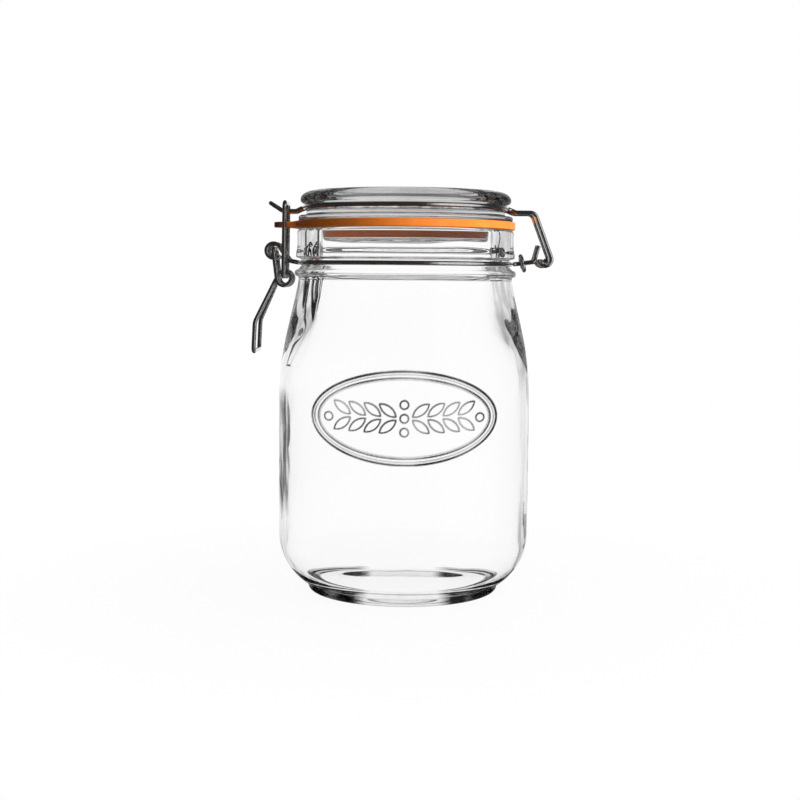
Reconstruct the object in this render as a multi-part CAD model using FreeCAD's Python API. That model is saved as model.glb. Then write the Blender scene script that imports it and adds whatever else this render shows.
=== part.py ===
import FreeCAD, Part

import math
import os

from FreeCAD import Vector

os.makedirs("parts", exist_ok=True)

# A round clip-top jar of about one litre, closed and clipped. Millimetres.
# The origin is on the jar's axis, on the surface that it stands on. +Z is up, the clasp is
# towards -X, the hinge towards +X, and the raised ornament looks towards -Y.

# Jar body
body_radius = 55.0
body_wall = 3.7
body_height = 136.2  # up to the root of the neck
shoulder_height = 51.5
shoulder_pull_low = 22.1  # how far the wall's line carries on into the shoulder's curve
shoulder_pull_top = 14.7
shoulder_flare = 2.3
foot_inset = 13.1  # from the body's wall in to the foot's
foot_height = 3.4
foot_rounding = 1.4
foot_land = 8.9  # width of the foot's ring, rounding and all
foot_step = 2.7  # how far the heel stands out over the foot
foot_step_rise = 1.1
heel_radius = 26.0
push_up = 2.2  # rise of the hollow under the base
floor_height = 4.6  # inner floor over the ground, at the floor's edge
floor_rise = 0.9
floor_corner = 17.0  # radius between the inner floor and the wall
hollow_shoulder_lift = 3.3  # the hollow's shoulder starts this far over the outer one
hollow_pull_low = 22.0
hollow_pull_top = 17.0
hollow_neck_lift = 1.8  # the hollow's shoulder ends this far over the root of the neck

# Neck
neck_height = 21.8
neck_radius = 47.2
neck_wall = 9.6
neck_root_step = 0.6
rim_rounding = 1.4
bead_radius = 1.6
bead_stand_out = 1.2
bead_rise = 2.9  # over the root of the neck
neck_wire_rise = 7.2  # over the root of the neck
groove_depth = 1.9
groove_play = 0.75  # over and under the wire
groove_corner = 0.6
groove_lip = 1.2
collar_stand_out = 0.6  # of the neck over the groove
collar_fade = 5.0  # height in which it blends into the neck
collar_pull = 2.2

# Wire and what keeps it clear of its neighbours
wire = 1.9
seat_clearance = 0.1
pin_play = 0.3  # between a pin and the side of its eye, coil or curl that it bears on
ring_exit_offset = 3.7  # a ring ends this far outside the plane that its end runs on in
ring_exit_bend = 2.6

# Seal
seal_thickness = 3.3
seal_bore_step = 0.2  # the seal's bore is this much smaller than the mouth, in radius
seal_overhang = 0.6  # past the neck
seal_gap = 0.2
tab_length = 10.2  # past the neck
tab_width = 13.0
tab_root = 1.0

# Lid
lid_height = 12.7  # from the seal to the top of the rim
lid_rim_inset = 1.3  # inside the neck's radius
lid_rim_depth = 5.3
lid_ledge_inset = 0.5
lid_ledge_depth = 2.1
lid_ledge_rounding = 0.7
lid_groove_depth = 2.6
lid_groove_corner = 0.5
lid_edge_rounding = 1.6
lid_rim_width = 10.3
lid_recess_depth = 8.5
lid_recess_corner = 3.0
crest_inset = 5.75  # from the rim's outside to its highest circle
crest_pull_out = 2.9
crest_pull_in = 3.0
crest_outer_drop = 1.4
crest_inner_drop = 1.6
crest_inner_flare = 0.4
recess_wall_drop = 4.4
plug_depth = 9.0
plug_clearance = 0.8
plug_taper = 0.75
plug_edge = 9.8  # from the plug's side in to its hollow
plug_hollow_depth = 2.0

# Lid wire
lid_wire_lift = 2.55  # over the lid's ledge
leg_drop = 1.6  # from the ring down to the nose and the hinge legs
leg_level_reach = 0.9  # past the ledge, where the legs run level
leg_drop_bend = 1.6
nose_y = 4.0
nose_reach = 7.5  # past the lid's rim
nose_tip_length = 5.5
nose_rise = 3.5
nose_bend = 3.0

# Hinge at the back
hinge_reach = 13.2  # past the neck
hinge_rise = 2.3  # over the neck wire
hinge_leg_y = 7.5
hinge_leg_setback = 4.6
hinge_leg_bend = 3.0
hinge_curl_radius = 2.8
hinge_curl_end = -168.0
hinge_pin_bend = 2.0
pin_overhang = 2.1
stub_bend = 2.4
tie_reach = 4.0  # past the neck
tie_clearance = 0.25
tie_lean = 1.7
tie_tail_step = 0.06  # the tail is this much thinner than the turn that it grows from
prong_reach = 6.2  # past the tie
prong_rise = 8.3  # over the neck wire
prong_lean = 1.2
prong_foot = 1.3
prong_foot_rise = 2.4
prong_bend = 2.4
prong_foot_bend = 1.5

# Clasp at the front
eye_reach = 10.0  # past the neck
eye_rise = 5.1  # over the neck wire
eye_y = 6.0
eye_radius = 3.1
eye_turn = 285.0
eye_lead_reach = 3.5
eye_lead_rise = 0.9
eye_lead_bend = 3.0
clasp_gap = 0.3  # side play between the eye, the lever and the latch
pin_length = 4.6
pin_bend = 1.6
coil_setback = 4.6  # from the eye back towards the jar
coil_drop = 11.9  # from the eye down
coil_radius = 3.0
coil_gap = 0.2
handle_stand_off = 9.7  # from the body's widest, at the handle's bend
handle_drop = 18.8  # from the coil down to the handle's bend
handle_length = 12.8
handle_lean = 0.6
handle_half_width = 12.4
handle_neck = 1.6  # straight run out of the coil, before the arms spread
handle_neck_bend = 3.0
handle_bend = 6.0
handle_corner = 2.6
hook_clearance = 1.7  # play between the latch's crossbar and the nose under it
latch_lean = 0.5
latch_corner = 2.6

# Raised ornament on the front of the jar
relief = 0.45
relief_root = 1.0
ornament_drop = 4.0  # from the start of the shoulder down to the ornament's centre
oval_half_width = 38.0
oval_half_height = 19.0
oval_line = 1.2
inner_oval_inset = 2.6
inner_oval_line = 0.7
sprig_start = 3.4
sprig_rise = 0.25
leaf_length = 8.4
leaf_width = 3.4
leaf_pairs = 4
leaf_spacing = 6.2
leaf_root = 0.7
leaf_angle = 38.0
berry_radius = 1.7
berry_spacing = 5.6
end_berry_x = 31.0

# Arcs that a round is made of, and how far a cutter runs past what it cuts
ring_arcs = 12
coil_arcs = 9
eye_arcs = 7
curl_arcs = 5
overrun = 5.0

# Worked out from the sizes above
wire_radius = wire / 2
foot_radius = body_radius - foot_inset
bore_radius = body_radius - body_wall
shoulder_start = body_height - shoulder_height
rim_height = body_height + neck_height
mouth_radius = neck_radius - neck_wall
groove_radius = neck_radius - groove_depth
neck_wire_height = body_height + neck_wire_rise
neck_ring_radius = groove_radius + seat_clearance + wire_radius
seal_inner = mouth_radius - seal_bore_step
seal_outer = neck_radius + seal_overhang
seal_bottom = rim_height + seal_gap
lid_bottom = seal_bottom + seal_thickness + seal_gap
lid_top = lid_bottom + lid_height
lid_rim_radius = neck_radius - lid_rim_inset
lid_ledge_radius = neck_radius - lid_ledge_inset
lid_groove_radius = lid_rim_radius - lid_groove_depth
lid_recess_radius = lid_rim_radius - lid_rim_width
lid_wire_height = lid_bottom + lid_ledge_depth + lid_wire_lift + wire_radius
lid_ring_radius = lid_groove_radius + seat_clearance + wire_radius
lid_leg_height = lid_wire_height - leg_drop
lid_leg_x = lid_ledge_radius + leg_level_reach
nose_bend_x = -lid_rim_radius - nose_reach
nose_tip_x = nose_bend_x - nose_tip_length
hinge_x = neck_radius + hinge_reach
hinge_z = neck_wire_height + hinge_rise
hinge_pin_z = hinge_z - hinge_curl_radius + wire + pin_play
stub_y = wire_radius + seat_clearance
tie_x = neck_radius + tie_reach
tie_radius = stub_y + wire + tie_clearance
eye_x = -neck_radius - eye_reach
eye_z = neck_wire_height + eye_rise
arm_y = eye_y + wire + clasp_gap
latch_y = arm_y + wire + clasp_gap
lever_pin_z = eye_z + eye_radius - wire - pin_play
coil_x = eye_x + coil_setback
coil_z = eye_z - coil_drop
coil_pitch = wire + coil_gap
latch_pin_z = coil_z + coil_radius - wire - pin_play
latch_top_z = lid_leg_height + wire + hook_clearance
coil_end_y = arm_y - coil_pitch
handle_x = -body_radius - handle_stand_off
handle_z = coil_z - handle_drop
ornament_height = shoulder_start - ornament_drop


def arc_through(first, middle, last):
    return Part.Arc(first, middle, last).toShape()


def line(first, last):
    return Part.makeLine(first, last)


def polar(radius, degrees):
    angle = math.radians(degrees)
    return radius * math.cos(angle), radius * math.sin(angle)


def profile_point(radius, height):
    return Vector(radius, 0, height)


def profile_line(*sizes):
    """Straight edge of a profile between two points given as radius, height, radius, height."""
    return line(profile_point(*sizes[:2]), profile_point(*sizes[2:]))


def quarter_round(centre, radius, start, end):
    """Arc about a point of the XZ plane between two angles in degrees."""
    points = []
    for angle in (start, (start + end) / 2, end):
        dx, dz = polar(radius, angle)
        points.append(Vector(centre.x + dx, 0, centre.z + dz))
    return arc_through(*points)


def dome(radius, edge_height, rise):
    """Arc that is level on the axis and falls by rise to its edge at a radius."""
    ball = (radius**2 + rise**2) / (2 * rise)
    centre = edge_height + rise - ball
    half = radius / 2
    return arc_through(
        profile_point(0, edge_height + rise),
        profile_point(half, centre + math.sqrt(ball**2 - half**2)),
        profile_point(radius, edge_height),
    )


def bezier(*points):
    curve = Part.BezierCurve()
    curve.setPoles(list(points))
    return curve.toShape()


def joined(edges):
    """Closes the gaps between neighbouring edges with straight ones and returns one wire."""
    chain = []
    for edge in edges:
        if chain:
            end = chain[-1].lastVertex(True).Point
            start = edge.firstVertex(True).Point
            if end.distanceToPoint(start) > 1e-6:
                chain.append(line(end, start))
        chain.append(edge)
    return Part.Wire(chain)


def revolved(edges):
    """Solid of revolution about Z of an outline that starts and ends on the axis."""
    start = edges[0].firstVertex(True).Point
    end = edges[-1].lastVertex(True).Point
    outline = Part.Wire(joined(edges).Edges + [line(end, start)])
    return Part.Face(outline).revolve(Vector(0, 0, 0), Vector(0, 0, 1), 360)


def jar_outside(extra=0.0):
    """The jar's outer form with no hollow, its body wall moved out by extra."""
    wall = body_radius + extra
    heel_inner = foot_radius + foot_step
    heel_x = body_radius - heel_radius
    heel_drop = math.sqrt(heel_radius**2 - (heel_inner - heel_x) ** 2)
    heel_start = foot_height + foot_step_rise
    heel_centre = profile_point(heel_x, heel_start + heel_drop)
    heel_angle = math.degrees(math.atan2(-heel_drop, heel_inner - heel_x))
    foot_inner = foot_radius - foot_land
    foot_flat = foot_radius - foot_rounding
    root_radius = neck_radius - neck_root_step
    bead_centre = neck_radius + bead_stand_out - bead_radius
    groove_half = wire_radius + groove_play
    groove_bottom = neck_wire_height - groove_half + groove_corner
    groove_top = neck_wire_height + groove_half - groove_corner
    groove_end = neck_wire_height + groove_half + groove_lip
    collar_radius = neck_radius + collar_stand_out
    collar_end = groove_end + collar_fade
    rim_start = rim_height - rim_rounding
    edges = [
        dome(foot_inner, 0, push_up),
        profile_line(foot_inner, 0, foot_flat, 0),
        quarter_round(profile_point(foot_flat, foot_rounding), foot_rounding, -90, 0),
        profile_line(foot_radius, foot_rounding, foot_radius, foot_height),
        profile_line(foot_radius, foot_height, heel_inner, heel_start),
        quarter_round(heel_centre, heel_radius + extra, heel_angle, 0),
        profile_line(wall, heel_centre.z, wall, shoulder_start),
        bezier(
            profile_point(wall, shoulder_start),
            profile_point(wall, shoulder_start + shoulder_pull_low),
            profile_point(root_radius + shoulder_flare + extra, body_height - shoulder_pull_top),
            profile_point(root_radius + extra, body_height),
        ),
        quarter_round(profile_point(bead_centre, body_height + bead_rise), bead_radius, -90, 90),
        profile_line(groove_radius, groove_bottom, groove_radius, groove_top),
        bezier(
            profile_point(groove_radius, groove_top),
            profile_point(groove_radius, groove_top + groove_lip),
            profile_point(collar_radius, groove_end - groove_lip),
            profile_point(collar_radius, groove_end),
        ),
        bezier(
            profile_point(collar_radius, groove_end),
            profile_point(collar_radius, groove_end + collar_pull),
            profile_point(neck_radius, collar_end - collar_pull),
            profile_point(neck_radius, collar_end),
        ),
        profile_line(neck_radius, collar_end, neck_radius, rim_start),
        quarter_round(profile_point(neck_radius - rim_rounding, rim_start), rim_rounding, 0, 90),
        profile_line(neck_radius - rim_rounding, rim_height, 0, rim_height),
    ]
    return revolved(edges)


def jar_hollow():
    """The space inside the jar, open through the mouth."""
    floor_edge = bore_radius - floor_corner
    taper_start = shoulder_start + hollow_shoulder_lift
    shoulder_end = body_height + hollow_neck_lift
    rim_start = rim_height - rim_rounding
    rim_edge = mouth_radius + rim_rounding
    edges = [
        dome(floor_edge, floor_height, floor_rise),
        quarter_round(profile_point(floor_edge, floor_height + floor_corner), floor_corner, -90, 0),
        profile_line(bore_radius, floor_height + floor_corner, bore_radius, taper_start),
        bezier(
            profile_point(bore_radius, taper_start),
            profile_point(bore_radius, taper_start + hollow_pull_low),
            profile_point(mouth_radius, shoulder_end - hollow_pull_top),
            profile_point(mouth_radius, shoulder_end),
        ),
        profile_line(mouth_radius, shoulder_end, mouth_radius, rim_start),
        quarter_round(profile_point(rim_edge, rim_start), rim_rounding, 180, 90),
        profile_line(rim_edge, rim_height, rim_edge, rim_height + overrun),
        profile_line(rim_edge, rim_height + overrun, 0, rim_height + overrun),
    ]
    return revolved(edges)


def oval(half_width, half_height):
    """Face of an ellipse in the XZ plane, about the ornament's centre."""
    ellipse = Part.Ellipse(Vector(0, 0, 0), half_width, half_height).toShape()
    ellipse.rotate(Vector(0, 0, 0), Vector(1, 0, 0), 90)
    ellipse.translate(Vector(0, 0, ornament_height))
    return Part.Face(Part.Wire([ellipse]))


def oval_ring(half_width, half_height, width):
    return oval(half_width, half_height).cut(oval(half_width - width, half_height - width))


def leaf(x, z, degrees):
    """Pointed leaf in the XZ plane that grows from a point at an angle."""
    half = leaf_length / 2
    tip = Vector(leaf_length, 0, 0)
    upper = arc_through(Vector(0, 0, 0), Vector(half, 0, leaf_width / 2), tip)
    lower = arc_through(tip, Vector(half, 0, -leaf_width / 2), Vector(0, 0, 0))
    face = Part.Face(Part.Wire([upper, lower]))
    face.rotate(Vector(0, 0, 0), Vector(0, 1, 0), -degrees)
    face.translate(Vector(x, 0, z))
    return face


def berry(x, z):
    circle = Part.makeCircle(berry_radius, Vector(x, 0, z), Vector(0, 1, 0))
    return Part.Face(Part.Wire([circle]))


def ornament_faces():
    """Two oval lines round a sprig of leaves and berries."""
    inner_width = oval_half_width - inner_oval_inset
    inner_height = oval_half_height - inner_oval_inset
    faces = [
        oval_ring(oval_half_width, oval_half_height, oval_line),
        oval_ring(inner_width, inner_height, inner_oval_line),
    ]
    for side in (-1, 1):
        forward = 90 - side * (90 - leaf_angle)
        for step in range(leaf_pairs):
            x = side * (sprig_start + step * leaf_spacing)
            z = ornament_height + sprig_rise * step
            faces.append(leaf(x, z + leaf_root, forward))
            faces.append(leaf(x, z - leaf_root, -forward))
        faces.append(berry(side * end_berry_x, ornament_height))
    for step in (-1, 0, 1):
        faces.append(berry(0, ornament_height + step * berry_spacing))
    return faces


def make_jar():
    """The glass, with the ornament rooted in its wall and standing out by the relief."""
    raised_form = jar_outside(relief)
    rooted_form = jar_outside(-relief_root)
    ridges = []
    for face in ornament_faces():
        face.translate(Vector(0, -body_radius - overrun, 0))
        prism = face.extrude(Vector(0, body_radius, 0))
        ridges.append(prism.common(raised_form).cut(rooted_form))
    return jar_outside().cut(jar_hollow()).fuse(ridges)


def make_seal():
    tab_end = neck_radius + tab_length - tab_width / 2
    corner = Vector(-tab_end, -tab_width / 2, seal_bottom)
    ring = Part.makeCylinder(seal_outer, seal_thickness, Vector(0, 0, seal_bottom))
    tab = Part.makeBox(tab_end - seal_inner - tab_root, tab_width, seal_thickness, corner)
    tab_tip = Part.makeCylinder(tab_width / 2, seal_thickness, Vector(-tab_end, 0, seal_bottom))
    hole = Part.makeCylinder(seal_inner, seal_thickness, Vector(0, 0, seal_bottom))
    return ring.fuse(tab).fuse(tab_tip).cut(hole).removeSplitter()


def make_lid():
    """Pressed glass lid: hollowed plug, ledge on the seal, groove for the wire, dished rim."""
    rim_bottom = lid_top - lid_rim_depth
    rim_corner = rim_bottom + lid_edge_rounding
    rim_flat = lid_rim_radius - lid_edge_rounding
    ledge_top = lid_bottom + lid_ledge_depth
    ledge_corner = lid_ledge_radius - lid_ledge_rounding
    groove_corner_radius = lid_groove_radius + lid_groove_corner
    groove_start = ledge_top + lid_groove_corner
    groove_end = rim_bottom - lid_groove_corner
    recess_floor = lid_top - lid_recess_depth
    recess_corner = lid_recess_radius - lid_recess_corner
    plug_bottom = lid_bottom - plug_depth
    plug_radius = mouth_radius - plug_clearance
    plug_tip = plug_radius - plug_taper
    plug_corner = plug_bottom + lid_edge_rounding
    plug_flat = plug_tip - lid_edge_rounding
    hollow_radius = plug_radius - plug_edge
    crest = lid_rim_radius - crest_inset
    edges = [
        dome(hollow_radius, plug_bottom, plug_hollow_depth),
        profile_line(hollow_radius, plug_bottom, plug_flat, plug_bottom),
        quarter_round(profile_point(plug_flat, plug_corner), lid_edge_rounding, -90, 0),
        profile_line(plug_tip, plug_corner, plug_radius, lid_bottom),
        profile_line(plug_radius, lid_bottom, ledge_corner, lid_bottom),
        quarter_round(
            profile_point(ledge_corner, lid_bottom + lid_ledge_rounding),
            lid_ledge_rounding,
            -90,
            0,
        ),
        quarter_round(
            profile_point(ledge_corner, ledge_top - lid_ledge_rounding),
            lid_ledge_rounding,
            0,
            90,
        ),
        profile_line(groove_corner_radius, ledge_top, lid_groove_radius, groove_start),
        profile_line(lid_groove_radius, groove_start, lid_groove_radius, groove_end),
        profile_line(groove_corner_radius, rim_bottom, rim_flat, rim_bottom),
        quarter_round(profile_point(rim_flat, rim_corner), lid_edge_rounding, -90, 0),
        bezier(
            profile_point(lid_rim_radius, rim_corner),
            profile_point(lid_rim_radius, lid_top - crest_outer_drop),
            profile_point(crest + crest_pull_out, lid_top),
            profile_point(crest, lid_top),
        ),
        bezier(
            profile_point(crest, lid_top),
            profile_point(crest - crest_pull_in, lid_top),
            profile_point(lid_recess_radius + crest_inner_flare, lid_top - crest_inner_drop),
            profile_point(lid_recess_radius, lid_top - recess_wall_drop),
        ),
        quarter_round(
            profile_point(recess_corner, recess_floor + lid_recess_corner),
            lid_recess_corner,
            0,
            -90,
        ),
        profile_line(recess_corner, recess_floor, 0, recess_floor),
    ]
    return revolved(edges)


def bent_wire(points, bends, thickness=wire):
    """Round wire along straight runs, with a tangent arc of the given radius at each inner point."""
    edges = []
    last_end = points[0]
    for before, corner, after, bend in zip(points, points[1:], points[2:], bends, strict=False):
        arriving = (corner - before).normalize()
        leaving = (after - corner).normalize()
        turn = arriving.getAngle(leaving)
        if turn < 1e-3:
            continue
        setback = bend * math.tan(turn / 2)
        start = corner - arriving * setback
        end = corner + leaving * setback
        inward = (leaving - arriving).normalize()
        middle = corner + inward * (bend / math.cos(turn / 2) - bend)
        if last_end.distanceToPoint(start) > 1e-4:
            edges.append(line(last_end, start))
        edges.append(arc_through(start, middle, end))
        last_end = end
    if last_end.distanceToPoint(points[-1]) > 1e-4:
        edges.append(line(last_end, points[-1]))
    direction = (points[1] - points[0]).normalize()
    section = Part.Wire([Part.makeCircle(thickness / 2, points[0], direction)])
    return Part.Wire(edges).makePipeShell([section], True, False)


def tangent_angle(point, centre, radius, sense):
    """Angle on a circle of the XZ plane where a line from an outside point touches it.

    sense is 1 where the route goes on anticlockwise from there, seen with +X to the right and
    +Z up, and -1 where it goes on clockwise.
    """
    dx = point[0] - centre[0]
    dz = point[1] - centre[1]
    bearing = math.degrees(math.atan2(dz, dx))
    return bearing + sense * math.degrees(math.acos(radius / math.hypot(dx, dz)))


def turn_corners(centre, radius, start, end, count):
    """Corners of the polygon whose rounded form is the arc of a circle from start to end."""
    step = (end - start) / count
    reach = radius / math.cos(math.radians(step / 2))
    corners = []
    for index in range(count):
        dx, dz = polar(reach, start + (index + 0.5) * step)
        corners.append((centre[0] + dx, centre[1] + dz))
    return corners


def ring_end(radius, y):
    """Angle off the X axis at which a ring ends, so that its tangent can meet a line at y."""
    return math.degrees(math.asin((y + ring_exit_offset) / radius))


def ring_exit(radius, height, degrees, y):
    """Where the tangent of a ring about the jar's axis, at an angle, crosses a line at y."""
    x0, y0 = polar(radius, degrees)
    along_x, along_y = polar(1.0, degrees + 90)
    reach = (y - y0) / along_y
    return Vector(x0 + along_x * reach, y, height)


def ring_points(radius, height, start_y, end_y, start, end):
    """A ring's corners from one angle to another, with the point where each end leaves it."""
    corners = turn_corners((0, 0), radius, start, end, ring_arcs)
    points = [ring_exit(radius, height, start, start_y)]
    points += [Vector(x, y, height) for x, y in corners]
    points.append(ring_exit(radius, height, end, end_y))
    return points


def mirrored(points):
    """The points on the other side of the XZ plane, in reverse order."""
    return [Vector(p.x, -p.y, p.z) for p in reversed(points)]


def neck_wire(side):
    """Half of the neck wire: eye for the lever, half a turn round the neck, stub and hinge pin."""
    eye = (eye_x, eye_z)
    lead_x = -neck_radius - eye_lead_reach
    lead_z = neck_wire_height + eye_lead_rise
    start = tangent_angle((lead_x, lead_z), eye, eye_radius, 1)
    eye_corners = turn_corners(eye, eye_radius, start, start + eye_turn, eye_arcs)
    end_x, end_z = polar(eye_radius, start + eye_turn)
    front = 180 - ring_end(neck_ring_radius, eye_y)
    rear = ring_end(neck_ring_radius, stub_y)
    points = [Vector(eye_x + end_x, eye_y, eye_z + end_z)]
    points += [Vector(x, eye_y, z) for x, z in reversed(eye_corners)]
    points.append(Vector(lead_x, eye_y, lead_z))
    points += ring_points(neck_ring_radius, neck_wire_height, eye_y, stub_y, front, rear)
    points.append(Vector(hinge_x, stub_y, hinge_pin_z))
    points.append(Vector(hinge_x, hinge_leg_y + pin_overhang, hinge_pin_z))
    bends = [eye_radius] * eye_arcs + [eye_lead_bend, ring_exit_bend]
    bends += [neck_ring_radius] * ring_arcs + [stub_bend, hinge_pin_bend]
    solid = bent_wire(points, bends)
    if side < 0:
        solid = solid.mirror(Vector(0, 0, 0), Vector(0, 1, 0))
    return solid


def make_hinge_tie():
    """Wire that binds the two halves of the neck wire, with two upturned ends."""
    slope = (hinge_pin_z - neck_wire_height) / (hinge_x - neck_ring_radius)
    middle = neck_wire_height + slope * (tie_x - neck_ring_radius)
    prong_x = tie_x + prong_reach
    prong_top = neck_wire_height + prong_rise
    foot_z = middle + slope * prong_reach
    foot_x = prong_x - prong_foot
    axis = Vector(2 * tie_radius, 0, tie_lean)
    tie = Part.makeTorus(tie_radius, wire_radius, Vector(tie_x, 0, middle), axis)
    tail = bent_wire(
        [
            Vector(foot_x + prong_foot + prong_lean / 2, tie_radius, prong_top),
            Vector(foot_x + prong_foot - prong_lean / 2, tie_radius, foot_z + prong_foot_rise),
            Vector(foot_x, tie_radius, foot_z),
            Vector(tie_x, tie_radius, middle),
        ],
        [prong_bend, prong_foot_bend],
        wire - tie_tail_step,
    )
    return tie.fuse([tail, tail.mirror(Vector(0, 0, 0), Vector(0, 1, 0))])


def make_lid_wire():
    """Ring in the lid's groove, with the nose at the front and two legs to the hinge."""
    hinge = (hinge_x, hinge_z)
    bend_x = hinge_x - hinge_leg_setback
    start = tangent_angle((bend_x, lid_leg_height), hinge, hinge_curl_radius, -1)
    curl = turn_corners(hinge, hinge_curl_radius, start, hinge_curl_end, curl_arcs)
    end_x, end_z = polar(hinge_curl_radius, hinge_curl_end)
    rear = ring_end(lid_ring_radius, hinge_leg_y)
    front = 180 - ring_end(lid_ring_radius, nose_y)
    half = [Vector(hinge_x + end_x, hinge_leg_y, hinge_z + end_z)]
    half += [Vector(x, hinge_leg_y, z) for x, z in reversed(curl)]
    half.append(Vector(bend_x, hinge_leg_y, lid_leg_height))
    half.append(Vector(lid_leg_x, hinge_leg_y, lid_leg_height))
    half += ring_points(lid_ring_radius, lid_wire_height, hinge_leg_y, nose_y, rear, front)
    half.append(Vector(-lid_leg_x, nose_y, lid_leg_height))
    half.append(Vector(nose_bend_x, nose_y, lid_leg_height))
    half.append(Vector(nose_tip_x, nose_y, lid_leg_height + nose_rise))
    bends = [hinge_curl_radius] * curl_arcs + [hinge_leg_bend, leg_drop_bend, ring_exit_bend]
    bends += [lid_ring_radius] * ring_arcs
    bends += [ring_exit_bend, leg_drop_bend, nose_bend, nose_bend]
    return bent_wire(half + mirrored(half), bends + bends[::-1])


def make_lever():
    """Pins in the neck wire's eyes, arms, one-turn coils and the handle."""
    pin = (eye_x, lever_pin_z)
    coil = (coil_x, coil_z)
    bend = (handle_x, handle_z)
    start = tangent_angle(pin, coil, coil_radius, 1)
    end = start + (tangent_angle(bend, coil, coil_radius, -1) - start) % 360
    half = [Vector(eye_x, arm_y - pin_length, lever_pin_z), Vector(eye_x, arm_y, lever_pin_z)]
    for index, (x, z) in enumerate(turn_corners(coil, coil_radius, start, end, coil_arcs)):
        half.append(Vector(x, arm_y - coil_pitch * (index + 0.5) / coil_arcs, z))
    end_x, end_z = polar(coil_radius, end)
    leave = Vector(coil_x + end_x, coil_end_y, coil_z + end_z)
    along = (Vector(handle_x, coil_end_y, handle_z) - leave).normalize()
    half.append(leave + along * handle_neck)
    half.append(Vector(handle_x, handle_half_width, handle_z))
    half.append(Vector(handle_x - handle_lean, handle_half_width, handle_z - handle_length))
    bends = [pin_bend] + [coil_radius] * coil_arcs
    bends += [handle_neck_bend, handle_bend, handle_corner]
    return bent_wire(half + mirrored(half), bends + bends[::-1])


def make_latch():
    """Loop from the lever's coils up over the nose."""
    half = [
        Vector(coil_x, latch_y - pin_length, latch_pin_z),
        Vector(coil_x, latch_y, latch_pin_z),
        Vector(coil_x + latch_lean, latch_y, latch_top_z),
    ]
    bends = [pin_bend, latch_corner]
    return bent_wire(half + mirrored(half), bends + bends[::-1])


def save(name, shape):
    if not shape.isValid():
        print(name, "is not a valid solid")
    print(name, len(shape.Solids), "solid,", round(shape.Volume / 1000, 3), "cm3")
    shape.exportStep("parts/" + name + ".step")


save("jar", make_jar())
save("lid", make_lid())
save("seal", make_seal())
save("neck_wire_near", neck_wire(-1))
save("neck_wire_far", neck_wire(1))
save("hinge_tie", make_hinge_tie())
save("lid_wire", make_lid_wire())
save("lever", make_lever())
save("latch", make_latch())
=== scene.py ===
import math

import bpy
from mathutils import Matrix, Vector, noise


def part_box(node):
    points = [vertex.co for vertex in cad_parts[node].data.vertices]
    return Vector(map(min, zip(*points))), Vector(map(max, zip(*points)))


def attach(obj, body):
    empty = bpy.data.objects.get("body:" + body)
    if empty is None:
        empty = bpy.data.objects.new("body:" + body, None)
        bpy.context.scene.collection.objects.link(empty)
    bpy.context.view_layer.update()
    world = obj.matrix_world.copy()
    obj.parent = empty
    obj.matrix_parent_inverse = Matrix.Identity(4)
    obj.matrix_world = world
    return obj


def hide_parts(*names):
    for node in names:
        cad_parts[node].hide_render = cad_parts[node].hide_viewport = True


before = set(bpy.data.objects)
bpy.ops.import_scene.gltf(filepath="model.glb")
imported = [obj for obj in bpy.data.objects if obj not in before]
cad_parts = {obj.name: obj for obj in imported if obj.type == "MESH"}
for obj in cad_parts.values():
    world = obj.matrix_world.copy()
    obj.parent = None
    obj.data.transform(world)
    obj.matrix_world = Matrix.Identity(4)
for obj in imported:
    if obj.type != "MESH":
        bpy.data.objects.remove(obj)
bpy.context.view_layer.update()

MM = 0.001


# ---------------------------------------------------------------- sizes, in millimetres


def box_of(node):
    """Lowest and highest corner of a CAD node, to a tenth of a millimetre."""
    return [[round(c / MM, 1) for c in corner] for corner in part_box(node)]


jar_high = box_of("jar")[1]
lid_low, lid_high = box_of("lid")
seal_low, seal_high = box_of("seal")

# Jar. BODY, BORE, NECK, MOUTH, FOOT, GROOVE and COLLAR are radii, and RIM, SHOULDER, ROOT, FLOOR,
# GROOVE_LOW, GROOVE_HIGH and COLLAR_Z are heights over the ground.
INSIDE_BOX = 0.01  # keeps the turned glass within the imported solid's box
BODY = jar_high[0] - INSIDE_BOX
RIM = jar_high[2]
BORE, NECK, MOUTH = 51.3, 47.2, 37.6
PUSH_UP_RADIUS, PUSH_UP = 37.0, 2.2
FOOT, FOOT_HEIGHT, FOOT_ROUNDING = 41.9, 3.4, 1.4
HEEL_IN, HEEL_START, HEEL_RADIUS = 44.6, 4.5, 26.0
HEEL_X = BODY - HEEL_RADIUS
HEEL_DROP = math.sqrt(HEEL_RADIUS**2 - (HEEL_IN - HEEL_X) ** 2)
HEEL_Z = HEEL_START + HEEL_DROP
SHOULDER, SHOULDER_PULL_LOW, SHOULDER_PULL_TOP, SHOULDER_FLARE = 84.7, 22.1, 14.7, 2.3
ROOT, ROOT_STEP = 136.2, 0.6
BEAD_RADIUS, BEAD_STAND_OUT, BEAD_RISE = 1.6, 1.2, 2.9
GROOVE, GROOVE_LOW, GROOVE_HIGH, GROOVE_LIP = 45.3, 142.3, 144.5, 1.2
COLLAR, COLLAR_Z, COLLAR_PULL, COLLAR_FADE = 47.8, 146.3, 2.2, 5.0
RIM_ROUNDING = 1.4
FLOOR, FLOOR_RISE, FLOOR_CORNER = 4.6, 0.9, 17.0
HOLLOW_LOW, HOLLOW_PULL_LOW = 88.0, 22.0
HOLLOW_TOP, HOLLOW_PULL_TOP = 138.0, 17.0

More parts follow.
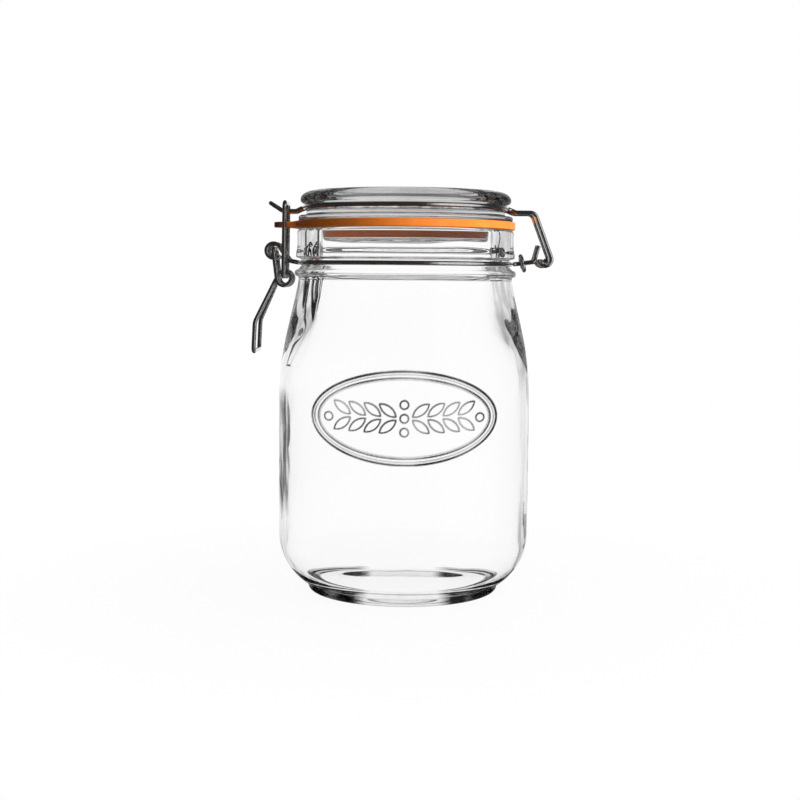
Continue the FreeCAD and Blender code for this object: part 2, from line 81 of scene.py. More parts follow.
# Ornament, raised on the front of the jar
ORNAMENT = 80.7
ORNAMENT_HALF = 19.6
RELIEF = 0.45
LINE_EDGE = 0.34
OVAL_WIDTH, OVAL_HEIGHT, OVAL_LINE = 38.0, 19.0, 1.2
INNER_INSET, INNER_LINE = 2.6, 0.7
PAST_OVAL = 1.0  # nothing is raised or marked further outside the oval than this
SPRIG_ROOM = 3.0  # the sprig keeps this far inside the oval
LEAF_LENGTH, LEAF_WIDTH, LEAF_ANGLE = 8.4, 3.4, 38.0
LEAF_COUNT, LEAF_START, LEAF_PITCH = 4, 3.4, 6.2
STEM_HALF, STEM_SPREAD = 0.7, 0.25
BERRY_RADIUS, BERRY_PITCH, END_BERRY = 1.7, 5.6, 31.0

# Seal
SEAL_LOW, SEAL_HIGH = seal_low[2], seal_high[2]
SEAL_IN, SEAL_OUT, SEAL_EDGE = 37.4, seal_high[0], 0.45
TAB_END, TAB_HALF, TAB_CORNER = -seal_low[0], 6.5, 6.4
TAB_THINNING, TAB_THINS_OVER = 0.28, 3.0

# Lid
LID_BOTTOM, LID_TOP = SEAL_HIGH + 0.2, lid_high[2]
PLUG_LOW, PLUG, PLUG_TAPER, PLUG_ROUNDING = lid_low[2], 36.8, 0.75, 1.6
PLUG_HOLLOW_RADIUS, PLUG_HOLLOW = 27.0, 2.0
LEDGE, LEDGE_HEIGHT, LEDGE_ROUNDING = lid_high[0], 2.1, 0.7
LID_GROOVE, LID_GROOVE_CORNER = 43.3, 0.5
LID_RIM, LID_RIM_DEPTH, LID_RIM_ROUNDING = 45.9, 5.3, 1.6
CREST_INSET, CREST_PULL_OUT, CREST_PULL_IN = 5.75, 2.9, 3.0
CREST_OUTER_DROP, CREST_INNER_DROP, CREST_FLARE = 1.4, 1.6, 0.4
RECESS, RECESS_DEPTH, RECESS_CORNER, RECESS_WALL_DROP = 35.6, 8.5, 3.0, 4.4


# ---------------------------------------------------------------- outlines, as (radius, height)

LEAST_TURN = math.radians(14)  # a corner that turns by less stays as it is
CORNER_SHARE = 0.45  # of a run, which is the most that a rounded corner takes
CORNER_STEPS = 5
TINY = 1e-6


def arc(cx, cz, radius, start, end, count):
    """Points of an arc about (cx, cz) between two angles in degrees."""
    points = []
    for i in range(count + 1):
        a = math.radians(start + (end - start) * i / count)
        points.append((cx + radius * math.cos(a), cz + radius * math.sin(a)))
    return points


def bezier(p0, p1, p2, p3, count):
    """Points of a curve from p0 to p3 that p1 and p2 pull."""
    points = []
    for i in range(count + 1):
        t = i / count
        s = 1 - t
        weights = (s**3, 3 * s * s * t, 3 * s * t * t, t**3)
        points.append(tuple(sum(w * p[k] for w, p in zip(weights, (p0, p1, p2, p3))) for k in (0, 1)))
    return points


def dome(radius, edge, rise, count):
    """Points of a shallow ball surface from the axis out to a radius."""
    ball = (radius**2 + rise**2) / (2 * rise)
    points = []
    for i in range(count + 1):
        r = radius * i / count
        points.append((r, edge + rise - ball + math.sqrt(ball**2 - r * r)))
    return points


def push_up(radius, rise, count):
    """Points of a shallow hollow that runs out flat at its edge, from the axis out to a radius."""
    points = []
    for i in range(count + 1):
        t = i / count
        points.append((radius * t, rise * (1 - t * t) ** 2))
    return points


def eased(points, radius):
    """Rounds each corner of an outline, and leaves out points that repeat."""
    out = [points[0]]
    for a, b, c in zip(points, points[1:], points[2:]):
        u = Vector(a) - Vector(b)
        v = Vector(c) - Vector(b)
        if u.length < TINY or v.length < TINY:
            continue
        if math.pi - u.angle(v) < LEAST_TURN:
            out.append(b)
            continue
        cut = min(radius, u.length * CORNER_SHARE, v.length * CORNER_SHARE)
        start = Vector(b) + u.normalized() * cut
        end = Vector(b) + v.normalized() * cut
        for i in range(CORNER_STEPS + 1):
            t = i / CORNER_STEPS
            out.append(tuple(start * (1 - t) ** 2 + Vector(b) * 2 * t * (1 - t) + end * t * t))
    out.append(points[-1])
    return out


def spaced(points, step):
    """Adds points so that no run of an outline is longer than step."""
    out = [points[0]]
    for a, b in zip(points, points[1:]):
        count = max(1, math.ceil(math.dist(a, b) / step))
        for i in range(1, count + 1):
            out.append(tuple(a[k] + (b[k] - a[k]) * i / count for k in (0, 1)))
    return out


def jar_outer():
    """The jar's outside, from the middle of the base up to the rim."""
    heel_angle = math.degrees(math.atan2(-HEEL_DROP, HEEL_IN - HEEL_X))
    foot_edge = FOOT - FOOT_ROUNDING
    root_radius = NECK - ROOT_STEP
    bead_x = NECK + BEAD_STAND_OUT - BEAD_RADIUS
    collar_end = COLLAR_Z + COLLAR_FADE
    shoulder = (
        (BODY, SHOULDER),
        (BODY, SHOULDER + SHOULDER_PULL_LOW),
        (root_radius + SHOULDER_FLARE, ROOT - SHOULDER_PULL_TOP),
        (root_radius, ROOT),
    )
    lip = (
        (GROOVE, GROOVE_HIGH),
        (GROOVE, GROOVE_HIGH + GROOVE_LIP),
        (COLLAR, COLLAR_Z - GROOVE_LIP),
        (COLLAR, COLLAR_Z),
    )
    fade = (
        (COLLAR, COLLAR_Z),
        (COLLAR, COLLAR_Z + COLLAR_PULL),
        (NECK, collar_end - COLLAR_PULL),
        (NECK, collar_end),
    )
    return (
        push_up(PUSH_UP_RADIUS, PUSH_UP, 18)
        + [(foot_edge, 0)]
        + arc(foot_edge, FOOT_ROUNDING, FOOT_ROUNDING, -90, 0, 8)
        + [(FOOT, FOOT_HEIGHT)]
        + arc(HEEL_X, HEEL_Z, HEEL_RADIUS, heel_angle, 0, 36)
        + bezier(*shoulder, 60)
        + arc(bead_x, ROOT + BEAD_RISE, BEAD_RADIUS, -90, 90, 14)
        + [(GROOVE, GROOVE_LOW), (GROOVE, GROOVE_HIGH)]
        + bezier(*lip, 10)
        + bezier(*fade, 8)
        + arc(NECK - RIM_ROUNDING, RIM - RIM_ROUNDING, RIM_ROUNDING, 0, 90, 8)
    )


def jar_inner():
    """The jar's inside, from the rim down to the middle of the floor."""
    floor_edge = BORE - FLOOR_CORNER
    shoulder = (
        (MOUTH, HOLLOW_TOP),
        (MOUTH, HOLLOW_TOP - HOLLOW_PULL_TOP),
        (BORE, HOLLOW_LOW + HOLLOW_PULL_LOW),
        (BORE, HOLLOW_LOW),
    )
    return (
        arc(MOUTH + RIM_ROUNDING, RIM - RIM_ROUNDING, RIM_ROUNDING, 90, 180, 8)
        + bezier(*shoulder, 44)
        + arc(floor_edge, FLOOR + FLOOR_CORNER, FLOOR_CORNER, 0, -90, 32)
        + dome(floor_edge, FLOOR, FLOOR_RISE, 12)[::-1]
    )


def lid_outline():
    """The lid, from the middle of the plug out, up and back in to the middle of the recess."""
    plug_edge = PLUG - PLUG_TAPER - PLUG_ROUNDING
    ledge_x, ledge_top = LEDGE - LEDGE_ROUNDING, LID_BOTTOM + LEDGE_HEIGHT
    corner = LID_GROOVE_CORNER
    rim_low = LID_TOP - LID_RIM_DEPTH
    rim_z = rim_low + LID_RIM_ROUNDING
    crest = LID_RIM - CREST_INSET
    recess_floor = LID_TOP - RECESS_DEPTH
    crest_outside = (
        (LID_RIM, rim_z),
        (LID_RIM, LID_TOP - CREST_OUTER_DROP),
        (crest + CREST_PULL_OUT, LID_TOP),
        (crest, LID_TOP),
    )
    crest_inside = (
        (crest, LID_TOP),
        (crest - CREST_PULL_IN, LID_TOP),
        (RECESS + CREST_FLARE, LID_TOP - CREST_INNER_DROP),
        (RECESS, LID_TOP - RECESS_WALL_DROP),
    )
    return (
        dome(PLUG_HOLLOW_RADIUS, PLUG_LOW, PLUG_HOLLOW, 12)
        + [(PLUG_HOLLOW_RADIUS, PLUG_LOW), (plug_edge, PLUG_LOW)]
        + arc(plug_edge, PLUG_LOW + PLUG_ROUNDING, PLUG_ROUNDING, -90, 0, 8)
        + [(PLUG, LID_BOTTOM)]
        + arc(ledge_x, LID_BOTTOM + LEDGE_ROUNDING, LEDGE_ROUNDING, -90, 0, 5)
        + arc(ledge_x, ledge_top - LEDGE_ROUNDING, LEDGE_ROUNDING, 0, 90, 5)
        + [(LID_GROOVE + corner, ledge_top), (LID_GROOVE, ledge_top + corner)]
        + [(LID_GROOVE, rim_low - corner), (LID_GROOVE + corner, rim_low)]
        + arc(LID_RIM - LID_RIM_ROUNDING, rim_z, LID_RIM_ROUNDING, -90, 0, 8)
        + bezier(*crest_outside, 16)
        + bezier(*crest_inside, 16)
        + arc(RECESS - RECESS_CORNER, recess_floor + RECESS_CORNER, RECESS_CORNER, 0, -90, 10)
        + [(0.0, recess_floor)]
    )


def radius_at(points, z):
    """Radius of the outer wall at a height of the body."""
    for (r0, z0), (r1, z1) in zip(points, points[1:]):
        past_foot = r0 > FOOT - FOOT_ROUNDING
        if past_foot and min(z0, z1) <= z <= max(z0, z1) and z1 != z0:
            return r0 + (r1 - r0) * (z - z0) / (z1 - z0)
    return BODY


# ---------------------------------------------------------------- the raised ornament

# Painted shade at each edge of the ornament: how dark it is painted, and half the width of its mark
# in millimetres
OUTER_EDGE, OUTER_LINE_EDGE = (1.0, 0.66), (0.45, 0.4)
INNER_EDGE, INNER_LINE_EDGE = (0.85, 0.52), (0.35, 0.36)
SPRIG_EDGE = (0.85, 0.48)


def ellipse_gap(x, z, a, b):
    """About how far a point is outside an ellipse."""
    k = math.hypot(x / a, z / b)
    g = math.hypot(x / (a * a), z / (b * b))
    return k * (k - 1) / g if g > 1e-9 else -b


def oval_gaps(x, z):
    """About how far a point is outside the outer oval and outside the inner one."""
    outer = ellipse_gap(x, z, OVAL_WIDTH, OVAL_HEIGHT)
    return outer, ellipse_gap(x, z, OVAL_WIDTH - INNER_INSET, OVAL_HEIGHT - INNER_INSET)


def leaf_gap(x, z, root_x, root_z, degrees):
    """How far a point is outside a pointed leaf that grows from a root at an angle."""
    a = math.radians(degrees)
    u = (x - root_x) * math.cos(a) + (z - root_z) * math.sin(a) - LEAF_LENGTH / 2
    v = abs(-(x - root_x) * math.sin(a) + (z - root_z) * math.cos(a))
    radius = ((LEAF_LENGTH / 2) ** 2 + (LEAF_WIDTH / 2) ** 2) / LEAF_WIDTH
    inside = math.hypot(u, v + radius - LEAF_WIDTH / 2) - radius
    if abs(u) > LEAF_LENGTH / 2:
        return max(inside, math.hypot(abs(u) - LEAF_LENGTH / 2, v))
    return inside


def make_sprig():
    """Leaves as (root x, root z, degrees) and berries as (x, z), about the oval's middle."""
    leaves = []
    berries = [(0.0, -BERRY_PITCH), (0.0, 0.0), (0.0, BERRY_PITCH)]
    for side in (-1, 1):
        forward = 90 - side * (90 - LEAF_ANGLE)
        for step in range(LEAF_COUNT):
            root = side * (LEAF_START + step * LEAF_PITCH)
            leaves.append((root, STEM_SPREAD * step + STEM_HALF, forward))
            leaves.append((root, STEM_SPREAD * step - STEM_HALF, -forward))
        berries.append((side * END_BERRY, 0.0))
    return leaves, berries


LEAVES, BERRIES = make_sprig()


def sprig_gap(x, z):
    """How far a point is outside the nearest leaf or berry."""
    gap = min(leaf_gap(x, z, *leaf) for leaf in LEAVES)
    return min([gap] + [math.hypot(x - bx, z - bz) - BERRY_RADIUS for bx, bz in BERRIES])


def raised(x, z):
    """Height of the ornament over the glass, from 0 to 1, at a point of the front."""
    outer, inner = oval_gaps(x, z)
    if outer > PAST_OVAL:
        return 0.0
    gap = abs(outer + OVAL_LINE / 2) - OVAL_LINE / 2
    gap = min(gap, abs(inner + INNER_LINE / 2) - INNER_LINE / 2)
    if outer < -SPRIG_ROOM:
        gap = min(gap, sprig_gap(x, z))
    t = min(1.0, max(0.0, 0.5 - gap / LINE_EDGE))
    return t * t * (3 - 2 * t)


def line_shade(x, z):
    """Painted shade at the edges of the ornament at a point of the front, from 0 to 1."""
    outer, inner = oval_gaps(x, z)
    if outer > PAST_OVAL:
        return 0.0
    edges = [
        (outer, OUTER_EDGE),
        (outer + OVAL_LINE, OUTER_LINE_EDGE),
        (inner, INNER_EDGE),
        (inner + INNER_LINE, INNER_LINE_EDGE),
    ]
    if outer < -SPRIG_ROOM:
        edges.append((sprig_gap(x, z), SPRIG_EDGE))
    return max(shade * max(0.0, 1 - (gap / width) ** 2) for gap, (shade, width) in edges)


# ---------------------------------------------------------------- turned glass

# Angles in degrees that a ring has points at. The ornament's rings have more at the front.
COARSE = [i * 2.0 for i in range(180)]
FRONT_LOW, FRONT_HIGH, PER_DEGREE = 224.0, 316.0, 3
FINE_COUNT = int((FRONT_HIGH - FRONT_LOW) * PER_DEGREE)
FINE = sorted(set(COARSE) | {round(FRONT_LOW + i / PER_DEGREE, 4) for i in range(1, FINE_COUNT)})

OUTER_STEP, INNER_STEP, LID_STEP = 2.2, 2.4, 2.0
JAR_EASING, LID_EASING = 0.35, 0.3
ORNAMENT_ROWS = 118
ROW_GAP = 0.2  # between the ornament's rows and the plain ones

# Waves of the inner wall: how far they move it, their length and where in the noise they are read
LONG_WAVE, LONG_LENGTH, LONG_SEED = 0.2, 17.0, 3.1
SHORT_WAVE, SHORT_LENGTH, SHORT_SEED = 0.06, 7.0, 8.7
LONG_STRETCH = 0.5  # a long wave is twice as tall as it is wide
CALM_AT_FLOOR, CALM_HEIGHT = 0.35, 60.0
WAVES_END = 150.0


def wave(x, y, z, length, seed):
    """Smooth noise between about -1 and 1 at a point."""
    return noise.noise(Vector((x / length + seed, y / length - seed, z / length + 2 * seed)))


def inner_shift(angle, radius, height):
    """Slow waves of the inner wall, as pressed and blown glass has. They calm towards the floor."""
    a = math.radians(angle)
    x, y = radius * math.cos(a), radius * math.sin(a)
    calm = min(1.0, CALM_AT_FLOOR + height / CALM_HEIGHT)
    long = LONG_WAVE * wave(x, y, height * LONG_STRETCH, LONG_LENGTH, LONG_SEED)
    return calm * (long + SHORT_WAVE * wave(x, y, height, SHORT_LENGTH, SHORT_SEED))


def relief_shift(angle, radius, height):
    """How far the ornament stands out at a point of the jar's outside."""
    a = math.radians(angle)
    if math.sin(a) > 0:
        return 0.0
    return RELIEF * raised(radius * math.cos(a), height - ORNAMENT)


def strip(low, low_angles, high, high_angles):
    """Faces between two rings. The list of angles of one is part of the other's."""
    faces = []
    if len(low) == len(high):
        for i in range(len(low)):
            j = (i + 1) % len(low)
            faces.append((low[i], low[j], high[j], high[i]))
        return faces
    rising = len(low) > len(high)
    fine, rough = (low, high) if rising else (high, low)
    fine_angles, rough_angles = (low_angles, high_angles) if rising else (high_angles, low_angles)
    place = {round(a, 6): k for k, a in enumerate(fine_angles)}
    for i in range(len(rough)):
        j = (i + 1) % len(rough)
        first = place[round(rough_angles[i], 6)]
        last = place[round(rough_angles[j], 6)]
        if last <= first:
            last += len(fine)
        run = [fine[k % len(fine)] for k in range(first, last + 1)]
        face = run + [rough[j], rough[i]] if rising else [rough[i], rough[j]] + run[::-1]
        faces.append(tuple(face))
    return faces


def fan(tip, ring, upward):
    """Faces between a point on the axis and a ring."""
    faces = []
    for i in range(len(ring)):
        j = (i + 1) % len(ring)
        faces.append((tip, ring[j], ring[i]) if upward else (tip, ring[i], ring[j]))
    return faces


def new_object(name, verts, faces):
    mesh = bpy.data.meshes.new(name)
    mesh.from_pydata(verts, [], faces)
    mesh.polygons.foreach_set("use_smooth", [True] * len(mesh.polygons))
    obj = bpy.data.objects.new(name, mesh)
    bpy.context.scene.collection.objects.link(obj)
    return obj


def turned(name, rows):
    """Turned solid. rows are (radius, height, angles, shift) from pole to pole.

    angles is the list of degrees that the row has points at, and shift(angle, radius, height)
    gives how far each point moves out, or is None.
    """
    verts, faces, rings = [], [], []
    for radius, height, angles, shift in rows:
        if radius < TINY:
            rings.append(([len(verts)], angles))
            verts.append((0.0, 0.0, height * MM))
            continue
        ring = []
        for angle in angles:
            a = math.radians(angle)
            r = radius + (shift(angle, radius, height) if shift else 0.0)
            ring.append(len(verts))
            verts.append((r * math.cos(a) * MM, r * math.sin(a) * MM, height * MM))
        rings.append((ring, angles))
    for (low, low_angles), (high, high_angles) in zip(rings, rings[1:]):
        if len(low) == 1:
            faces += fan(low[0], high, True)
        elif len(high) == 1:
            faces += fan(high[0], low, False)
        else:
            faces += strip(low, low_angles, high, high_angles)
    return new_object(name, verts, faces)


def jar_rows():
    outer = spaced(eased(jar_outer(), JAR_EASING), OUTER_STEP)
    low, high = ORNAMENT - ORNAMENT_HALF, ORNAMENT + ORNAMENT_HALF
    rows = [(r, z, COARSE, None) for r, z in outer if z < low - ROW_GAP]
    for i in range(ORNAMENT_ROWS + 1):
        z = low + (high - low) * i / ORNAMENT_ROWS
        rows.append((radius_at(outer, z), z, FINE, relief_shift))
    rows += [(r, z, COARSE, None) for r, z in outer if z > high + ROW_GAP]
    for r, z in spaced(eased(jar_inner(), JAR_EASING), INNER_STEP):
        rows.append((r, z, COARSE, inner_shift if r > 1 and z < WAVES_END else None))
    return rows


def lid_rows():
    return [(r, z, COARSE, None) for r, z in spaced(eased(lid_outline(), LID_EASING), LID_STEP)]


# ---------------------------------------------------------------- painted shade on the glass

# Painted shade on what the glass mirrors inside, from 0 to 1, by height over the ground; it stands in
# for dark surroundings. The first table is for the clasp's side and the second for the hinge's side.
CLASP_MIRROR_SHADE = (
    (5, 0.6), (9, 0.6), (20, 0.4), (34, 0.15), (46, 0.8), (84, 0.85), (90, 0.08), (106, 0.06),
    (114, 0.35), (134, 0.5), (147, 0.6), (157, 0.5), (163, 0.5), (175, 0.8),
)
HINGE_MIRROR_SHADE = (
    (5, 0.7), (9, 0.7), (24, 0.5), (44, 0.2), (88, 0.12), (98, 0.4), (134, 0.45), (147, 0.6),
    (157, 0.5), (163, 0.6), (175, 0.85),
)
SIDES_BLEND = 50.0  # width over which one table gives way to the other
MIRROR_SHADE_BY_MIDDLE = ((22, 0.15), (40, 1.0))  # share of the painted mirror shade that is left, by distance from the middle
FOOT_PAINTED_SHADE = ((15, 0.0), (21, 0.95))  # painted shade under the heel, by distance from the middle
FOOT_TOP, LID_START = 5, 161

# Painted shade on light that comes through the outside of thick glass: the foot from front to back,
# and the lid by height over the ground
FOOT_SIDE_SHADE = ((-5, 0.9), (5, 0.4))
FOOT_SHADE_TOP, FOOT_SHADE_INSIDE = 4.2, 38
RIM_PAINTED_SHADE = ((161, 0.0), (163, 0.12), (166, 0.08), (168.5, 0.2), (173, 0.24), (174.4, 0.05))
OUTSIDE = 52.5  # a point of the body that is further from the axis is on its outside


def between(value, stops):
    """Reads a table of (place, value) with straight runs between its places."""
    if value <= stops[0][0]:
        return stops[0][1]
    for (a, low), (b, high) in zip(stops, stops[1:]):
        if value <= b:
            return low + (high - low) * (value - a) / (b - a)
    return stops[-1][1]


def painted_mirror_shade(x, z):
    """Painted shade on what the inside of the glass mirrors at a point, from 0 to 1."""
    if z < FOOT_TOP:
        return between(abs(x), FOOT_PAINTED_SHADE)
    across = min(1.0, max(0.0, 0.5 + x / SIDES_BLEND))
    painted_mirror_dark = between(z, CLASP_MIRROR_SHADE) * (1 - across) + between(z, HINGE_MIRROR_SHADE) * across
    return painted_mirror_dark * between(abs(x), MIRROR_SHADE_BY_MIDDLE) if z < LID_START else painted_mirror_dark


def painted_thick_glass_shade(x, y, z):
    """Painted shade on light that comes through the outside of thick glass: the foot's sides and the
    lid's rim.
    """
    if z < FOOT_SHADE_TOP and math.hypot(x, y) > FOOT_SHADE_INSIDE:
        return between(y, FOOT_SIDE_SHADE) * between(abs(x), FOOT_PAINTED_SHADE)
    return between(z, RIM_PAINTED_SHADE)


def mark(obj):
    """Stores "depth" and "line" at each point of a glass piece.

    The first is painted shade on what the inside mirrors there, and the second is painted shade on
    light through the surface, at the ornament's edges and on thick glass elsewhere.
    """
    mirror_shades, through_shades = [], []
    for vertex in obj.data.vertices:
        x, y, z = (c / MM for c in vertex.co)
        front = y < 0 and math.hypot(x, y) > OUTSIDE and abs(z - ORNAMENT) < ORNAMENT_HALF
        mirror_shades.append(painted_mirror_shade(x, z))
        through_shades.append(line_shade(x, z - ORNAMENT) if front else painted_thick_glass_shade(x, y, z))
    for name, values in (("painted_mirror_dark", mirror_shades), ("painted_through_dark", through_shades)):
        layer = obj.data.attributes.new(name, "FLOAT", "POINT")
        layer.data.foreach_set("value", values)


# ---------------------------------------------------------------- the seal

RING_STEP = 1.5  # degrees
TAB_FROM, TAB_STEP, TAB_STEPS = 165, 0.25, 120
HALVINGS = 24


def on_tab(u, v):
    """Whether a point, u out from the axis and v to the side, is within the tab's outline."""
    du = max(0.0, u - (TAB_END - TAB_CORNER))
    dv = max(0.0, v - (TAB_HALF - TAB_CORNER))
    if du and dv:
        return v <= TAB_HALF and math.hypot(du, dv) <= TAB_CORNER
    return v <= TAB_HALF and u <= TAB_END


def seal_reach(angle):
    """Outer radius of the seal at an angle, tab and all."""
    a = math.radians(angle - 180)
    if abs(math.sin(a)) > 0.5 or math.cos(a) < 0:
        return SEAL_OUT
    low, high = SEAL_OUT, TAB_END
    for _ in range(HALVINGS):
        r = (low + high) / 2
        low, high = (r, high) if on_tab(r * math.cos(a), abs(r * math.sin(a))) else (low, r)
    return low


def seal_section():
    """The section's outline as (is it the outer side, step out, height)."""
    e = SEAL_EDGE
    points = []
    for outer, dr, z, start in (
        (False, e, SEAL_LOW + e, 180),
        (True, -e, SEAL_LOW + e, 270),
        (True, -e, SEAL_HIGH - e, 0),
        (False, e, SEAL_HIGH - e, 90),
    ):
        points += [(outer, r, h) for r, h in arc(dr, z, e, start, start + 90, 5)]
    return points


def make_seal():
    ring_angles = {i * RING_STEP for i in range(round(360 / RING_STEP))}
    tab_angles = {round(TAB_FROM + i * TAB_STEP, 3) for i in range(TAB_STEPS + 1)}
    angles = sorted(ring_angles | tab_angles)
    section = seal_section()
    middle = (SEAL_LOW + SEAL_HIGH) / 2
    verts, faces = [], []
    for angle in angles:
        a = math.radians(angle)
        reach = seal_reach(angle)
        thinning = TAB_THINNING * min(1.0, (reach - SEAL_OUT) / TAB_THINS_OVER)
        for outer, dr, z in section:
            r = (reach if outer else SEAL_IN) + dr
            h = z - thinning * (z - middle) if outer else z
            verts.append((r * math.cos(a) * MM, r * math.sin(a) * MM, h * MM))
    n, m = len(section), len(angles)
    for i in range(m):
        j = (i + 1) % m
        for k in range(n):
            q = (k + 1) % n
            faces.append((i * n + k, j * n + k, j * n + q, i * n + q))
    return new_object("seal_ring", verts, faces)


# ---------------------------------------------------------------- materials

WHITE = (1.0, 1.0, 1.0)
DECIMETRES = 10.0  # a ramp's places run from 0 to 1, so lengths in metres come to it times this


class Nodes:
    """Short hand for building a node tree."""

    def __init__(self, tree):
        self.tree = tree
        tree.nodes.clear()

    def add(self, kind, **values):
        node = self.tree.nodes.new(kind)
        for key, value in values.items():
            setattr(node, key, value)
        return node

    def link(self, source, target):
        self.tree.links.new(source, target)

    def put(self, socket, value):
        """Sets a socket to a number or colour, or links another socket to it."""
        if isinstance(value, (int, float)):
            socket.default_value = value
        elif isinstance(value, tuple):
            socket.default_value = (*value, 1.0)
        else:
            self.link(value, socket)

    def made(self, kind, **inputs):
        """First output of a new node. Inputs are given by their names, with _ for a space."""
        node = self.add(kind)
        for name, value in inputs.items():
            self.put(node.inputs[name.replace("_", " ")], value)
        return node.outputs[0]

    def math(self, operation, a, b=None, clamp=False):
        node = self.add("ShaderNodeMath", operation=operation, use_clamp=clamp)
        self.put(node.inputs[0], a)
        if b is not None:
            self.put(node.inputs[1], b)
        return node.outputs[0]

    def vector_math(self, operation, vector, other=None):
        """Node that works on a vector, alone or with a fixed one."""
        node = self.add("ShaderNodeVectorMath", operation=operation)
        self.link(vector, node.inputs[0])
        if other is not None:
            node.inputs[1].default_value = other
        return node

    def length(self, vector):
        return self.vector_math("LENGTH", vector).outputs["Value"]

    def place(self, space="Object"):
        return self.add("ShaderNodeTexCoord").outputs[space]

    def axes(self, vector):
        node = self.add("ShaderNodeSeparateXYZ")
        self.link(vector, node.inputs[0])
        return node.outputs

    def attribute(self, name):
        return self.add("ShaderNodeAttribute", attribute_name=name).outputs["Fac"]

    def ramp(self, value, stops):
        node = self.add("ShaderNodeValToRGB")
        elements = node.color_ramp.elements
        while len(elements) < len(stops):
            elements.new(0.5)
        for element, (place, colour) in zip(elements, stops):
            red_green_blue = colour if isinstance(colour, tuple) else (colour, colour, colour)
            element.position = place
            element.color = (*red_green_blue, 1.0)
        self.link(value, node.inputs[0])
        return node.outputs[0]

    def mix_colour(self, factor, a, b):
        node = self.add("ShaderNodeMix", data_type="RGBA")
        for index, value in ((0, factor), (6, a), (7, b)):
            self.put(node.inputs[index], value)
        return node.outputs[2]

    def mix_shader(self, factor, a, b):
        node = self.add("ShaderNodeMixShader")
        for index, value in enumerate((factor, a, b)):
            self.put(node.inputs[index], value)
        return node.outputs[0]

    def noise(self, scale, detail, stretch=(1.0, 1.0, 1.0)):
        size = self.add("ShaderNodeMapping")
        size.inputs["Scale"].default_value = stretch
        self.link(self.place(), size.inputs["Vector"])
        node = self.add("ShaderNodeTexNoise")
        node.inputs["Scale"].default_value = scale
        node.inputs["Detail"].default_value = detail
        self.link(size.outputs[0], node.inputs["Vector"])
        return node.outputs["Fac"]

    def bump(self, height, strength, distance):
        return self.made("ShaderNodeBump", Strength=strength, Distance=distance, Height=height)


def new_material(name):
    """A material, its nodes and the socket that its shader goes to."""
    material = bpy.data.materials.new(name)
    material.use_nodes = True
    n = Nodes(material.node_tree)
    return material, n, n.add("ShaderNodeOutputMaterial").inputs["Surface"]


GLASS_IOR = 1.5
MIRRORED_SHARE = 0.22  # of what a real surface mirrors, short of total reflection
TOTAL_REFLECTION = 0.995
MOST_TURNS = 6.0  # light that is still in the glass after these leaves it straight
STREAKS = ((0.38, 0.0), (0.62, 1.0))
STREAK_SHARE, LEAST_STREAK = 0.75, 0.35
# Patches in the strength of the painted shade on what comes through the glass
PATCHINESS = ((0.35, 0.65), (0.6, 1.0))
LINE_STRENGTH = 1.3
KEPT_FROM_METAL = 0.72  # painted shade on the light that comes through the glass to a mirror such as the wire
# The second colour is painted shade for what comes through the glass
CLEAR, PAINTED_DARK = (0.998, 0.999, 0.999), (0.03, 0.03, 0.03)
# The second mirror colour is painted shade for what the glass mirrors inside
CLEAR_MIRROR, PAINTED_DARK_MIRROR = (0.97, 0.97, 0.97), (0.06, 0.06, 0.063)
SHADOW_TINT = (0.96, 0.965, 0.965)


def glass_mirror(n, inward):
    """What the glass mirrors. Inside it takes painted shade, streaky, where the painted mirror shade
    is high.
    """
    streaks = n.ramp(n.noise(scale=260.0, detail=3.0, stretch=(1.0, 1.0, 0.2)), STREAKS)
    strength = n.math("ADD", n.math("MULTIPLY", streaks, STREAK_SHARE), LEAST_STREAK)
    dark = n.math("MULTIPLY", n.attribute("painted_mirror_dark"), strength, clamp=True)
    inside = n.mix_colour(dark, CLEAR_MIRROR, PAINTED_DARK_MIRROR)
    colour = n.mix_colour(inward, WHITE, inside)
    return n.made("ShaderNodeBsdfGlossy", Roughness=0.0, Color=colour)


def glass_bend(n, inward, path):
    """What comes through the surface, with painted shade at the ornament's edges, on thick glass, and
    where metal mirrors it.
    """
    patchy = n.ramp(n.noise(scale=55.0, detail=1.0), PATCHINESS)
    painted_dark_share = n.math("MULTIPLY", n.attribute("painted_through_dark"), patchy)
    painted_dark_share = n.math("MULTIPLY", painted_dark_share, LINE_STRENGTH, clamp=True)
    # Painted shade: what comes through the glass is darkened where metal mirrors it
    mirrored = n.math("SUBTRACT", path["Is Glossy Ray"], path["Is Transmission Ray"])
    from_outside = n.math("SUBTRACT", mirrored, inward, clamp=True)
    painted_in_metal = n.math("MULTIPLY", from_outside, KEPT_FROM_METAL)
    colour = n.mix_colour(n.math("MAXIMUM", painted_dark_share, painted_in_metal), CLEAR, PAINTED_DARK)
    return n.made("ShaderNodeBsdfRefraction", IOR=GLASS_IOR, Roughness=0.0, Color=colour)


def glass_material():
    """Clear flint glass, with painted shade on what its inside mirrors at some places."""
    material, n, surface = new_material("clear_glass")
    inward = n.add("ShaderNodeNewGeometry").outputs["Backfacing"]
    path = n.add("ShaderNodeLightPath").outputs
    mirror = glass_mirror(n, inward)
    bend = glass_bend(n, inward, path)
    fresnel = n.made("ShaderNodeFresnel", IOR=GLASS_IOR)
    total = n.math("GREATER_THAN", fresnel, TOTAL_REFLECTION)
    share = n.math("MAXIMUM", n.math("MULTIPLY", fresnel, MIRRORED_SHARE), total)
    leak = n.made("ShaderNodeBsdfRefraction", IOR=1.0, Roughness=0.0)
    spent = n.math("GREATER_THAN", path["Ray Depth"], MOST_TURNS)
    glass = n.mix_shader(spent, n.mix_shader(share, bend, mirror), leak)
    clear = n.made("ShaderNodeBsdfTransparent", Color=SHADOW_TINT)
    n.link(n.mix_shader(path["Is Shadow Ray"], glass, clear), surface)
    return material


